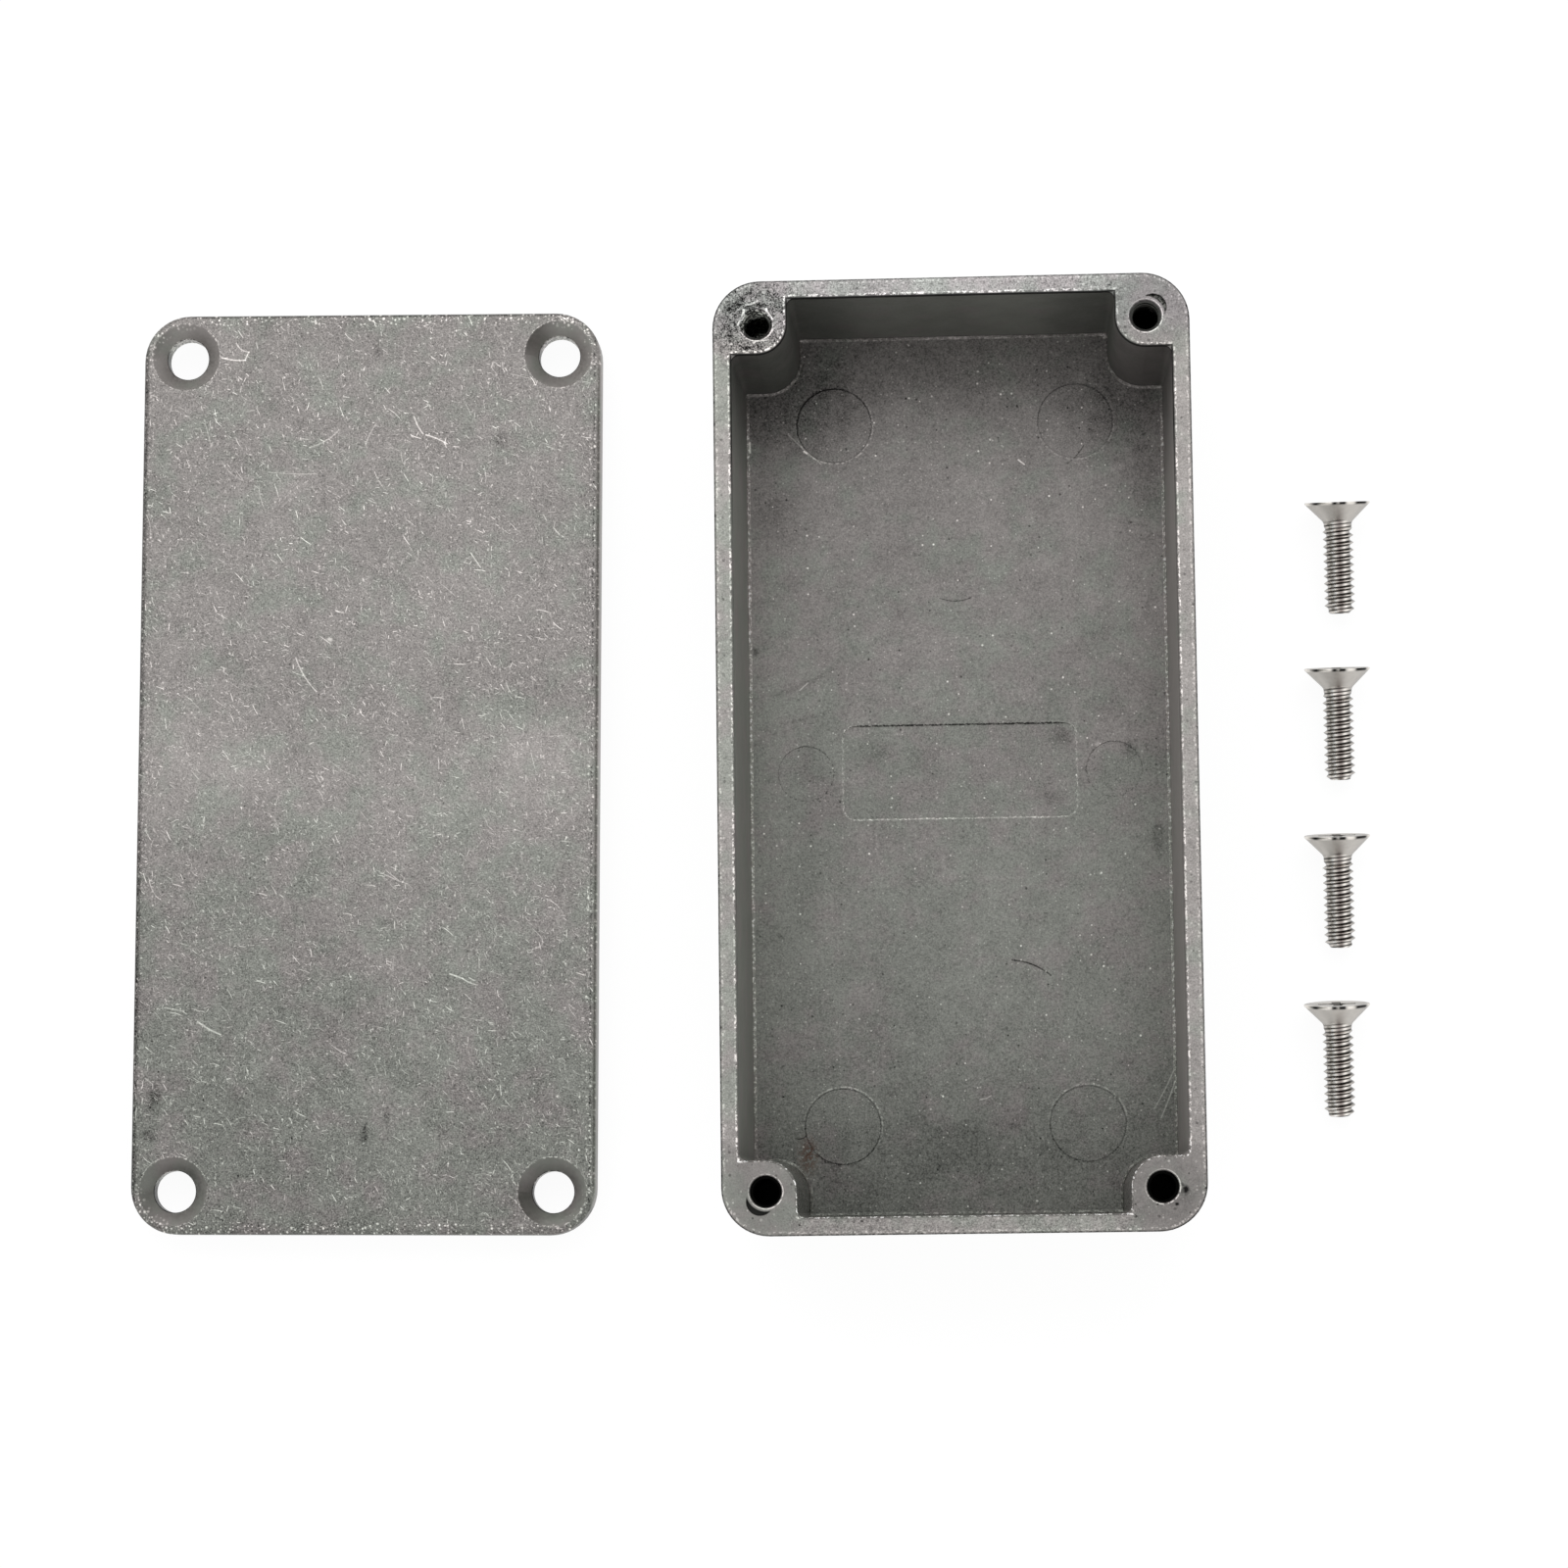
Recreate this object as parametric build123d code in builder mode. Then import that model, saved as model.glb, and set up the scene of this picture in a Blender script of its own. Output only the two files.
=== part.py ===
from build123d import *
from math import atan, cos, degrees, radians, sin, tan
import os

os.makedirs("parts", exist_ok=True)

# Die cast box for small circuits: an open base, its lid lying beside it with the outer face up,
# and the four countersunk screws that hold the lid, lying in a row. Millimetres, +Z up.
# The origin is the centre of the base's bottom face. X runs across the box, Y along it.

# Base and lid seen from above
width = 50.0
length = 100.0
corner_radius = 5.0

# Base casting
base_height = 21.7
wall = 1.9
floor_thickness = 2.0
outer_draft = 0.9
inner_draft = 1.3
foot_bevel = 0.7
rim_break = 0.2
floor_bevel = 0.3
cavity_corner = 0.35

# Corner bosses and their tapped holes
hole_inset = 4.6
boss_wrap = 3.2
thread_engagement = 0.275
mouth_clearance = 0.05
mouth_angle = 90.0
point_room = 3.25

# Crescent dents in the rim beside two of the holes
dent_reach = 2.6
dent_radius = 1.4
dent_land = 2.1
dent_depth = 0.4
right_dent_turn = 48.0
left_dent_turn = 240.0

# Ejector pin marks and the shallow panel sunk in the floor
end_pin_diameter = 8.1
end_pin_inset = 10.0
side_pin_diameter = 6.0
side_pin_inset = 6.5
pin_mark_depth = 0.12
panel_width = 25.2
panel_length = 10.2
panel_corner = 1.3
panel_depth = 0.2

# Lid
plate_thickness = 3.3
plate_top_round = 0.6
plate_rim_break = 0.25
lip_clearance = 0.25
lip_wall = 1.3
lip_depth = 1.8
lip_lead = 0.3
hole_clearance = 0.55
head_clearance = 0.2
sink_angle = 90.0

# Screws
screw_length = 12.0
head_diameter = 7.0
head_edge = 0.15
neck_diameter = 3.0
thread_start = 2.8
thread_diameter = 3.4
point_chamfer = 0.45
recess_span = 3.9
recess_width = 0.95
recess_taper = 6.0
recess_depth = 1.3
recess_core_diameter = 2.1
recess_core_depth = 1.7

# How the loose pieces lie
lid_gap = 13.9
lid_shift = 0.95
lid_turn = -0.8
screw_count = 4
screw_gap = 12.6
screw_row_start = 28.3
screw_pitch = 18.04
screw_row_step = -0.44
screw_lean = 0.8

# Reach of a search for points or faces at a given place
near = 0.01

# Worked out from the sizes above
cavity_depth = base_height - floor_thickness
cavity_width = width - 2 * wall
cavity_length = length - 2 * wall
boss_reach = hole_inset - wall + boss_wrap
rim_cavity_corner = cavity_corner + cavity_depth * tan(radians(inner_draft))
hole_span_x = width - 2 * hole_inset
hole_span_y = length - 2 * hole_inset
head_radius = head_diameter / 2
thread_radius = thread_diameter / 2
neck_radius = neck_diameter / 2
tap_radius = thread_radius - thread_engagement
mouth_radius = thread_radius + mouth_clearance
lid_hole_radius = thread_radius + hole_clearance
sink_radius = head_radius + head_clearance
head_sunk = head_clearance / tan(radians(sink_angle / 2)) - head_edge
hole_depth = screw_length + head_sunk - plate_thickness + point_room


def draw_cavity_outline(inset, corner):
    """The cavity seen from above, drawn in by inset all round: a rectangle less its four bosses."""
    across = cavity_width - 2 * inset
    along = cavity_length - 2 * inset
    Rectangle(across, along)
    with GridLocations(across, along, 2, 2):
        Rectangle(2 * boss_reach, 2 * boss_reach, mode=Mode.SUBTRACT)
    boss_x = across / 2 - boss_reach
    boss_y = along / 2 - boss_reach
    boss_corners = vertices().filter_by(lambda v: abs(v.X) < boss_x + near and abs(v.Y) < boss_y + near)
    fillet(boss_corners, boss_wrap + inset)
    side = across / 2 - near
    end = along / 2 - near
    wall_corners = vertices().filter_by(lambda v: abs(v.X) > side or abs(v.Y) > end)
    fillet(wall_corners, corner)


def draw_dent(hole_x, hole_y, turn):
    """A crescent beside a hole: a small circle less the ring of metal left round the hole."""
    away = dent_reach - dent_radius
    with Locations((hole_x + away * cos(radians(turn)), hole_y + away * sin(radians(turn)))):
        Circle(dent_radius)
    with Locations((hole_x, hole_y)):
        Circle(dent_land, mode=Mode.SUBTRACT)


# Base: a drafted shell with corner bosses, all one casting
rim_plane = Plane.XY.offset(base_height)
floor_plane = Plane.XY.offset(floor_thickness)

with BuildPart() as enclosure_base:
    with BuildSketch(rim_plane):
        RectangleRounded(width, length, corner_radius)
    extrude(amount=-base_height, taper=outer_draft)
    chamfer(enclosure_base.edges().group_by(Axis.Z)[0], foot_bevel)
    chamfer(enclosure_base.edges().group_by(Axis.Z)[-1], rim_break)

    with BuildSketch(rim_plane):
        draw_cavity_outline(0, rim_cavity_corner)
    extrude(amount=-cavity_depth, taper=inner_draft, mode=Mode.SUBTRACT)
    cavity_floor = enclosure_base.faces().filter_by_position(
        Axis.Z, floor_thickness - near, floor_thickness + near
    )
    chamfer(cavity_floor.edges(), floor_bevel)
    rim_face = enclosure_base.faces().sort_by(Axis.Z)[-1]
    chamfer(rim_face.inner_wires()[0].edges(), rim_break)

    with Locations(rim_plane):
        with GridLocations(hole_span_x, hole_span_y, 2, 2):
            CounterSinkHole(tap_radius, mouth_radius, hole_depth, mouth_angle)

    with BuildSketch(rim_plane):
        draw_dent(hole_span_x / 2, hole_span_y / 2, right_dent_turn)
    extrude(amount=-dent_depth, mode=Mode.SUBTRACT)
    with BuildSketch(rim_plane):
        draw_dent(-hole_span_x / 2, -hole_span_y / 2, left_dent_turn)
    extrude(amount=-dent_depth, mode=Mode.SUBTRACT)

    with BuildSketch(floor_plane):
        with GridLocations(cavity_width - 2 * end_pin_inset, cavity_length - 2 * end_pin_inset, 2, 2):
            Circle(end_pin_diameter / 2)
        with GridLocations(cavity_width - 2 * side_pin_inset, 0, 2, 1):
            Circle(side_pin_diameter / 2)
    extrude(amount=-pin_mark_depth, mode=Mode.SUBTRACT)
    with BuildSketch(floor_plane):
        RectangleRounded(panel_width, panel_length, panel_corner)
    extrude(amount=-panel_depth, mode=Mode.SUBTRACT)

enclosure_base.part.label = "enclosure_base"
export_step(enclosure_base.part, "parts/enclosure_base.step")


# Lid: a plate with a lip that drops inside the base's walls and round its bosses.
# Its own plane lies on the table, under the lip, turned a little from the base.
lid_x = -(width + lid_gap)
lid_across = (cos(radians(lid_turn)), sin(radians(lid_turn)), 0)
lid_plane = Plane(origin=(lid_x, lid_shift, 0), x_dir=lid_across, z_dir=(0, 0, 1))
plate_plane = lid_plane.offset(lip_depth)
lid_top_plane = plate_plane.offset(plate_thickness)

with BuildPart() as lid:
    with BuildSketch(plate_plane):
        RectangleRounded(width, length, corner_radius)
    extrude(amount=plate_thickness)
    fillet(lid.edges().group_by(Axis.Z)[-1], plate_top_round)
    chamfer(lid.edges().group_by(Axis.Z)[0], plate_rim_break)

    with BuildSketch(plate_plane):
        draw_cavity_outline(lip_clearance, rim_cavity_corner - lip_clearance)
        offset(amount=-lip_wall, kind=Kind.INTERSECTION, mode=Mode.SUBTRACT)
    extrude(amount=-lip_depth)
    lip_foot = lid.faces().sort_by(Axis.Z)[0]
    chamfer(lip_foot.outer_wire().edges(), lip_lead)

    with Locations(lid_top_plane):
        with GridLocations(hole_span_x, hole_span_y, 2, 2):
            CounterSinkHole(lid_hole_radius, sink_radius, None, sink_angle)

lid.part.label = "lid"
export_step(lid.part, "parts/lid.step")


# Screws: each lies on the edge of its head and the end of its thread, with its head towards +Y.
cone_end = head_edge + (head_radius - neck_radius) / tan(radians(sink_angle / 2))
thread_end = screw_length - point_chamfer
screw_tilt = degrees(atan((head_radius - thread_radius) / (thread_end - head_edge)))
head_centre_z = head_edge * sin(radians(screw_tilt)) + head_radius * cos(radians(screw_tilt))
screw_x = width / 2 + screw_gap + head_radius

for number in range(screw_count):
    head_centre = (screw_x + number * screw_row_step, screw_row_start - number * screw_pitch, head_centre_z)
    towards_point = (
        sin(radians(screw_lean)) * cos(radians(screw_tilt)),
        -cos(radians(screw_lean)) * cos(radians(screw_tilt)),
        -sin(radians(screw_tilt)),
    )
    across_screw = (cos(radians(screw_lean)), sin(radians(screw_lean)), 0)
    head_plane = Plane(origin=head_centre, x_dir=across_screw, z_dir=towards_point)
    half_section = Plane(origin=head_centre, x_dir=across_screw, z_dir=-head_plane.y_dir)

    with BuildPart() as screw:
        with BuildSketch(half_section):
            with BuildLine():
                Polyline(
                    (0, 0),
                    (head_radius, 0),
                    (head_radius, head_edge),
                    (neck_radius, cone_end),
                    (neck_radius, thread_start),
                    (thread_radius, thread_start),
                    (thread_radius, thread_end),
                    (thread_radius - point_chamfer, screw_length),
                    (0, screw_length),
                    close=True,
                )
            make_face()
        revolve(axis=Axis(head_centre, towards_point))
        with BuildSketch(head_plane):
            Rectangle(recess_span, recess_width)
            Rectangle(recess_width, recess_span)
        extrude(amount=recess_depth, taper=recess_taper, mode=Mode.SUBTRACT)
        with BuildSketch(head_plane):
            Circle(recess_core_diameter / 2)
        extrude(amount=recess_core_depth, mode=Mode.SUBTRACT)

    screw.part.label = f"screw_{number + 1}"
    export_step(screw.part, f"parts/{screw.part.label}.step")
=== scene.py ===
"""Dresses a packed die cast box: its open base, its lid and its four countersunk screws."""
import math
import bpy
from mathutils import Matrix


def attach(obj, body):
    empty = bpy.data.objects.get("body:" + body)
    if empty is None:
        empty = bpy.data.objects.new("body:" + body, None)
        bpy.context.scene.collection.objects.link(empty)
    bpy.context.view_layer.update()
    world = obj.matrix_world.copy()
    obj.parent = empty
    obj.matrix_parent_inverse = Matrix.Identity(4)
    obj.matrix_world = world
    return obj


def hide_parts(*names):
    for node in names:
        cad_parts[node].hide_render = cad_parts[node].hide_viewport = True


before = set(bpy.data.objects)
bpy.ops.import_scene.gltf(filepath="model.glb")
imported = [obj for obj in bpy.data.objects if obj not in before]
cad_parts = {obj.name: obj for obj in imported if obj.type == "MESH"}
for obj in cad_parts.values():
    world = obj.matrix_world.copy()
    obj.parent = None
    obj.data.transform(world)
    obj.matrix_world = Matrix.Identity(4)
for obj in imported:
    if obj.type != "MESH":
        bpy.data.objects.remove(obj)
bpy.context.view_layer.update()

from types import SimpleNamespace

import bpy
import numpy as np
from bpy.props import FloatProperty, FloatVectorProperty, PointerProperty
from mathutils import Vector

bl_info = {
    "name": "Die Cast Box",
    "version": (1, 0, 0),
    "blender": (4, 5, 0),
    "location": "View3D > Sidebar > Die Cast Box",
    "description": "Finishes the castings and the screws of a small die cast aluminium box",
    "category": "Object",
}

MM = 0.001

# Sizes of the castings in millimetres, as the CAD model has them
WIDTH, LENGTH, CORNER = 50.0, 100.0, 5.0
RIM_Z = 21.7
FLOOR_SUNK = 19.7
WALL = 1.9
INNER_DRAFT = math.tan(math.radians(1.3))
HOLE_X, HOLE_Y = 20.4, 45.4
BOSS_REACH, BOSS_WRAP = 5.9, 3.2
TAP_RADIUS, MOUTH_RADIUS = 1.425, 1.75
PANEL_X, PANEL_Y, PANEL_CORNER = 12.6, 5.1, 1.3
END_PIN_X, END_PIN_Y, END_PIN_RADIUS = 13.1, 38.1, 4.05
SIDE_PIN_X, SIDE_PIN_RADIUS = 16.6, 3.0
LID_X, LID_Y, LID_TURN = -63.9, 0.95, math.radians(-0.8)
LID_TOP = 5.1
LID_HOLE_RADIUS, SINK_RADIUS = 2.25, 3.7
DENT_RADIUS, DENT_LAND = 1.4, 2.1
DENTS = ((21.203, 46.292), (-21.0, -46.439))
STAIN_CENTRE, STAIN_RADII = (-16.9, -41.2, 0.0), (1.7, 3.0, 1.0)
STAIN_COLOUR = (0.08, 0.05, 0.038, 1.0)

# The screws in millimetres: edge of the head, chamfer of the point, half the length and half
# the width of the recess's slots, its depth, and the end of the cone
HEAD_EDGE, POINT_CHAMFER = 0.15, 0.45
SLOT_REACH, SLOT_HALF = 1.95, 0.475
RECESS_DEPTH = 1.75
CONE_END = 1.85
# Where the first screw's head lies, the step to the next, their turn on the table, and the
# share of a turn by which the next one's thread is ahead
SCREW_START, SCREW_STEP = (41.1, 28.3), (-0.44, -18.04)
SCREW_LEAN = math.radians(0.8)
THREAD_STEP = 0.31

# Camera, lamp and floor in metres. The camera sees the floor's glow over a darker grey.
CAMERA_PLACE, CAMERA_TURN = (0.0067, -0.0570, 0.5085), (6.26, 2.98, -0.67)
SENSOR_WIDTH = 36.0
LAMP_PLACE, LAMP_TARGET, LAMP_SIZE = (-0.05, 0.62, 0.95), (-0.02, 0.0, 0.0), (1.2, 0.7)
FLOOR_HALF = 2.5
FLOOR_GREY, FLOOR_SEEN_GREY, FLOOR_GLOW = 0.8, 0.12, 0.93

ORIGIN = (0.0, 0.0, 0.0)
WHITE = (1.0, 1.0, 1.0, 1.0)

# Layers of tumbling scratches on the lid, which lean by this angle on the whole:
# shift, spacing, half length, width, spread of their directions, share of cells, brightness
SCRATCH_LEAN = -0.85
LID_SCRATCHES = (
    (3.0, 2.3, 0.85, 0.9, 0.8, 0.5, 1.6),
    (41.0, 1.5, 0.5, 0.85, 1.1, 0.6, 1.5),
    (77.0, 1.0, 0.34, 0.8, 1.4, 0.65, 1.4),
    (119.0, 6.0, 2.0, 0.8, 0.7, 0.3, 1.1),
    (151.0, 0.7, 0.3, 0.6, 1.5, 0.8, 0.9),
    (187.0, 0.85, 0.4, 0.55, 0.6, 0.8, 0.9),
)
# Single marks, in millimetres from the middle of the casting.
# A stroke is x and y of both its ends, half its width, its bow and its brightness.
# A patch is x and y of its centre, its two radii and its brightness.
LID_STROKES = (
    (-16.5, 45.3, -13.9, 45.0, 0.11, 0.12, 1.5),
    (-13.9, 45.0, -13.5, 45.9, 0.1, -0.05, 1.2),
    (-13.5, 45.9, -14.9, 46.9, 0.11, -0.25, 1.0),
    (-6.7, 35.3, -3.6, 37.1, 0.11, 0.25, 0.7),
    (-0.6, 35.5, 0.5, 37.8, 0.1, -0.1, 0.7),
    (-11.2, 32.6, -5.9, 32.4, 0.08, 0.1, 0.6),
    (4.7, 38.6, 5.7, 36.7, 0.11, 0.1, 1.3),
    (6.0, 36.6, 8.3, 35.6, 0.11, -0.1, 1.5),
    (11.0, 23.6, 12.1, 22.0, 0.09, 0.0, 1.3),
    (-7.9, 12.2, -5.6, 8.5, 0.1, 0.25, 1.2),
    (-3.6, 17.3, -2.8, 17.1, 0.12, 0.0, 1.0),
    (-18.0, -27.2, -15.5, -28.6, 0.12, 0.1, 1.3),
    (-21.6, -25.7, -19.5, -26.1, 0.1, 0.0, 0.9),
    (9.2, -22.1, 10.6, -22.6, 0.12, 0.0, 1.5),
    (10.6, -22.6, 12.2, -23.3, 0.1, 0.1, 1.1),
    (1.2, -10.9, 4.5, -12.4, 0.09, 0.1, 0.7),
    (18.1, -17.3, 17.5, -19.6, 0.1, -1.4, 0.8),
    (-16.3, 33.8, -13.9, 31.7, 0.12, 0.3, 0.4),
)
LID_PATCHES = (
    (0.6, 45.9, 0.8, 1.6, -0.36),
    (0.2, -39.6, 0.6, 1.8, -0.42),
    (2.6, -37.5, 0.5, 1.2, -0.3),
    (14.1, 35.9, 1.2, 1.5, -0.3),
    (-22.6, -35.4, 0.9, 1.8, -0.42),
    (-23.0, -39.5, 1.0, 1.2, -0.3),
    (-16.0, 0.5, 9.5, 5.5, 0.17),
    (17.5, 1.8, 8.5, 5.0, 0.17),
    (-4.2, 14.2, 0.5, 0.35, 1.2),
)
FLOOR_STROKES = (
    (20.9, -37.6, 22.4, -33.9, 0.11, 0.05, 0.6),
    (20.2, -36.6, 22.4, -32.4, 0.1, 0.1, 0.5),
    (-1.9, 18.9, 1.5, 18.9, 0.1, 0.35, -0.4),
    (5.3, -20.5, 9.4, -22.2, 0.13, -0.35, -0.55),
    (-18.2, -39.3, -17.1, -39.1, 0.11, 0.15, -0.4),
    (-17.1, -41.2, -16.5, -40.4, 0.11, 0.1, -0.35),
    (-16.3, 9.9, -17.2, 9.1, 0.1, 0.0, 0.8),
    (12.2, 33.4, 14.0, 35.4, 0.1, 0.15, -0.4),
    (6.9, 33.9, 7.5, 33.4, 0.13, 0.0, 1.4),
    (1.6, -35.4, 2.8, -35.0, 0.1, 0.1, 0.6),
    (-20.0, 8.6, -13.6, 11.4, 0.4, 0.3, -0.14),
    (-19.0, 5.6, -14.6, 6.6, 0.3, 0.2, -0.12),
    (-18.1, 37.2, -14.6, 33.9, 0.12, 0.05, 0.4),
    (-16.4, 35.3, -16.1, 35.1, 0.16, 0.0, 1.5),
    (-16.4, 47.9, -15.9, 47.9, 0.22, 0.0, 1.8),
    (16.4, 47.2, 16.8, 47.2, 0.18, 0.0, 1.5),
    (22.5, 41.9, 22.9, 41.9, 0.2, 0.0, 1.8),
    (-22.3, 36.4, -22.3, 35.3, 0.16, 0.0, 1.5),
)
# The first row is a painted shadow at the near end, and the second and third are painted shade in the
# far corners.
FLOOR_PATCHES = (
    (1.0, -40.3, 13.0, 6.0, -0.13),
    (-17.5, 41.0, 9.0, 8.0, -0.3),
    (18.0, 39.0, 8.0, 9.0, -0.2),
    (-20.0, 0.0, 4.5, 30.0, 0.1),
    (-1.0, 12.0, 10.0, 7.0, 0.08),
    (-21.9, 13.3, 0.5, 0.8, -0.5),
    (3.5, -1.5, 1.2, 1.0, 0.15),
    (20.8, 31.0, 2.2, 6.5, -0.16),
    (21.2, -7.5, 0.9, 3.0, -0.25),
    (11.0, 3.5, 1.9, 1.8, -0.2),
    (10.0, -2.9, 3.0, 1.1, -0.12),
    (-9.5, 2.0, 2.6, 2.6, -0.12),
    (18.4, 2.2, 1.2, 1.5, -0.24),
    (14.9, 2.7, 0.5, 0.5, 0.5),
    (-16.6, 0.2, 3.0, 3.0, -0.08),
    (16.6, -0.2, 3.0, 3.0, -0.08),
    (-19.5, 28.0, 3.0, 5.0, -0.15),
)
RIM_PATCHES = (
    (-21.15, 48.1, 0.7, 0.5, 0.7),
    (-19.6, 48.0, 1.1, 0.5, 0.35),
    (-18.1, 45.4, 0.6, 1.8, 0.4),
    (-20.4, 47.3, 1.5, 0.55, -0.55),
    (-22.1, 46.0, 0.6, 1.0, -0.35),
    (-21.4, 42.8, 0.6, 0.35, -0.6),
    (-23.4, 45.2, 1.0, 1.6, -0.2),
    (-20.4, 45.4, 7.0, 7.0, -0.26),
    (22.7, -45.7, 0.6, 0.75, -0.75),
    (21.8, -47.2, 0.32, 0.26, -0.85),
    (20.0, -46.0, 6.0, 6.0, -0.15),
    (0.0, 49.0, 12.0, 3.0, 0.2),
)
# The bright ones among these strokes are painted glints round the torn mouth of the far left hole.
RIM_STROKES = (
    (-22.3, 45.4, -21.7, 46.9, 0.2, 0.15, 2.2),
    (-19.3, 47.0, -18.7, 45.9, 0.17, 0.1, 2.4),
    (-21.4, 47.5, -20.2, 47.9, 0.16, 0.1, 1.5),
    (-20.7, 43.4, -19.5, 43.6, 0.12, -0.1, 1.3),
    (-19.1, 44.1, -18.5, 44.9, 0.13, 0.0, 1.2),
    (-20.9, 48.9, -23.2, 46.9, 0.5, -0.1, -0.4),
    (-24.2, 44.0, -23.9, 41.0, 0.3, 0.0, -0.15),
)


def arithmetic(operation, swapped=False):
    """A method that writes one Math node for a signal and another value."""

    def method(self, other):
        values = (other, self) if swapped else (self, other)
        return self.graph.math(operation, *values)

    return method


class Signal:
    """A number or a vector that leaves a node. Signals add and multiply as plain numbers do."""

    def __init__(self, graph, socket):
        self.graph = graph
        self.socket = socket

    __add__ = __radd__ = arithmetic("ADD")
    __mul__ = __rmul__ = arithmetic("MULTIPLY")
    __sub__ = arithmetic("SUBTRACT")
    __rsub__ = arithmetic("SUBTRACT", swapped=True)
    __truediv__ = arithmetic("DIVIDE")
    __rtruediv__ = arithmetic("DIVIDE", swapped=True)
    max = arithmetic("MAXIMUM")
    min = arithmetic("MINIMUM")

    def __abs__(self):
        return self.graph.math("ABSOLUTE", self)

    def over(self, low, high):
        """0 below low and 1 above high, smooth between."""
        return self.graph.span(self, low, high, 0.0, 1.0)

    def under(self, low, high):
        """1 below low and 0 above high, smooth between."""
        return self.graph.span(self, low, high, 1.0, 0.0)

    def inverse(self):
        return self.graph.math("SUBTRACT", 1.0, self)

    def line(self, value, half_width):
        """1 where the signal has this value, falling to 0 at half_width from it."""
        return abs(self - value).under(half_width * 0.3, half_width)


class Graph:
    """Writes nodes into one node tree."""

    def __init__(self, tree):
        self.tree = tree

    def fill(self, socket, value):
        if isinstance(value, Signal):
            value = value.socket
        if isinstance(value, bpy.types.NodeSocket):
            self.tree.links.new(value, socket)
        else:
            socket.default_value = value

    def make(self, kind, inputs=(), **settings):
        made = self.tree.nodes.new("ShaderNode" + kind)
        for key, value in settings.items():
            setattr(made, key, value)
        pairs = inputs.items() if isinstance(inputs, dict) else enumerate(inputs)
        for key, value in pairs:
            self.fill(made.inputs[key], value)
        return made

    def get(self, made, out=0):
        return Signal(self, made.outputs[out])

    def math(self, operation, *values):
        return self.get(self.make("Math", values, operation=operation))

    def vector(self, operation, *values, out=0):
        return self.get(self.make("VectorMath", values, operation=operation), out)

    def span(self, value, low, high, start, end):
        inputs = [value, low, high, start, end]
        return self.get(self.make("MapRange", inputs, interpolation_type="SMOOTHSTEP"))

    def parts(self, vector):
        made = self.make("SeparateXYZ", [vector])
        return [self.get(made, axis) for axis in "XYZ"]

    def join(self, x, y, z=0.0):
        return self.get(self.make("CombineXYZ", [x, y, z]))

    def length(self, x, y):
        return self.vector("LENGTH", self.join(x, y), out="Value")

    def shift(self, vector, x=0.0, y=0.0, z=0.0):
        return self.vector("SUBTRACT", vector, (x, y, z))

    def scaled(self, vector, factor):
        made = self.make("VectorMath", {"Vector": vector, "Scale": factor}, operation="SCALE")
        return self.get(made)

    def noise(self, vector, size, detail=2.0, roughness=0.5):
        """Fractal noise with features about size millimetres across, from 0 to 1."""
        inputs = {"Vector": vector, "Scale": 1.0 / size, "Detail": detail, "Roughness": roughness}
        return self.get(self.make("TexNoise", inputs))

    def mix(self, factor, start, end):
        return self.get(self.make("Mix", {0: factor, 6: start, 7: end}, data_type="RGBA"), 2)

    def mix_number(self, factor, start, end):
        return self.get(self.make("Mix", {0: factor, 2: start, 3: end}, data_type="FLOAT"))

    def use(self, group, **values):
        """Places a shared node group, and returns its outputs by name."""
        made = self.tree.nodes.new("ShaderNodeGroup")
        made.node_tree = shared(group)
        for key, value in values.items():
            self.fill(made.inputs[key.replace("_", " ")], value)
        return {out.name: Signal(self, out) for out in made.outputs}


def total(signals):
    """The sum of several signals."""
    first, *rest = signals
    return sum(rest, first)


def new_group(name, **inputs):
    """Starts a node group from its inputs and their defaults, of which a tuple makes a vector.
    Returns its graph and then its inputs as signals."""
    tree = bpy.data.node_groups.new(name, "ShaderNodeTree")
    for key, default in inputs.items():
        kind = "NodeSocketVector" if isinstance(default, tuple) else "NodeSocketFloat"
        label = key.replace("_", " ")
        tree.interface.new_socket(label, in_out="INPUT", socket_type=kind).default_value = default
    graph = Graph(tree)
    enter = tree.nodes.new("NodeGroupInput")
    return graph, *(graph.get(enter, index) for index in range(len(inputs)))


def end_group(graph, **outputs):
    """Gives the node group its outputs."""
    for label in outputs:
        graph.tree.interface.new_socket(label, in_out="OUTPUT", socket_type="NodeSocketFloat")
    leave = graph.tree.nodes.new("NodeGroupOutput")
    for label, value in outputs.items():
        graph.fill(leave.inputs[label], value)


def outline_group():
    """Distance to a rectangle with round corners: how far the point is past the inner
    rectangle that the corners turn round, less the corner radius. Negative inside."""
    graph, position, half_width, half_length, corner = new_group(
        "Outline distance", Position=ORIGIN, Half_Width=25.0, Half_Length=50.0, Corner=5.0
    )
    x, y, _ = graph.parts(position)
    x = abs(x) - (half_width - corner)
    y = abs(y) - (half_length - corner)
    outside = graph.length(x.max(0.0), y.max(0.0))
    end_group(graph, Distance=outside + x.max(y).min(0.0) - corner)


def grain_group():
    """Uneven tone of a tumbled casting: Tone is soft clouds and mottle, Grit is grain at the size
    given and at half that size, Tint is patches of warmer and cooler metal, round 0, and Height
    is the coarser of the two grains."""
    graph, position, grain_size = new_group("Cast grain", Position=ORIGIN, Grain_Size=0.35)
    cloud = graph.noise(position, 22.0, 3.0, 0.6) - 0.5
    mottle = graph.noise(graph.shift(position, 31.0, 7.0), 3.2, 4.0, 0.75) - 0.5
    sized = graph.scaled(position, 1.0 / grain_size)
    fine = graph.noise(sized, 1.0, 2.0, 0.7) - 0.5
    grit = graph.noise(graph.shift(sized, 5.0, 11.0), 0.5, 1.0, 0.6) - 0.5
    tint = graph.noise(graph.shift(position, -11.0, 53.0), 4.0, 2.0, 0.6) - 0.5
    tone = cloud * 0.4 + mottle * 0.6
    end_group(graph, Tone=tone, Grit=fine + grit * 1.6, Tint=tint, Height=fine)


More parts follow.
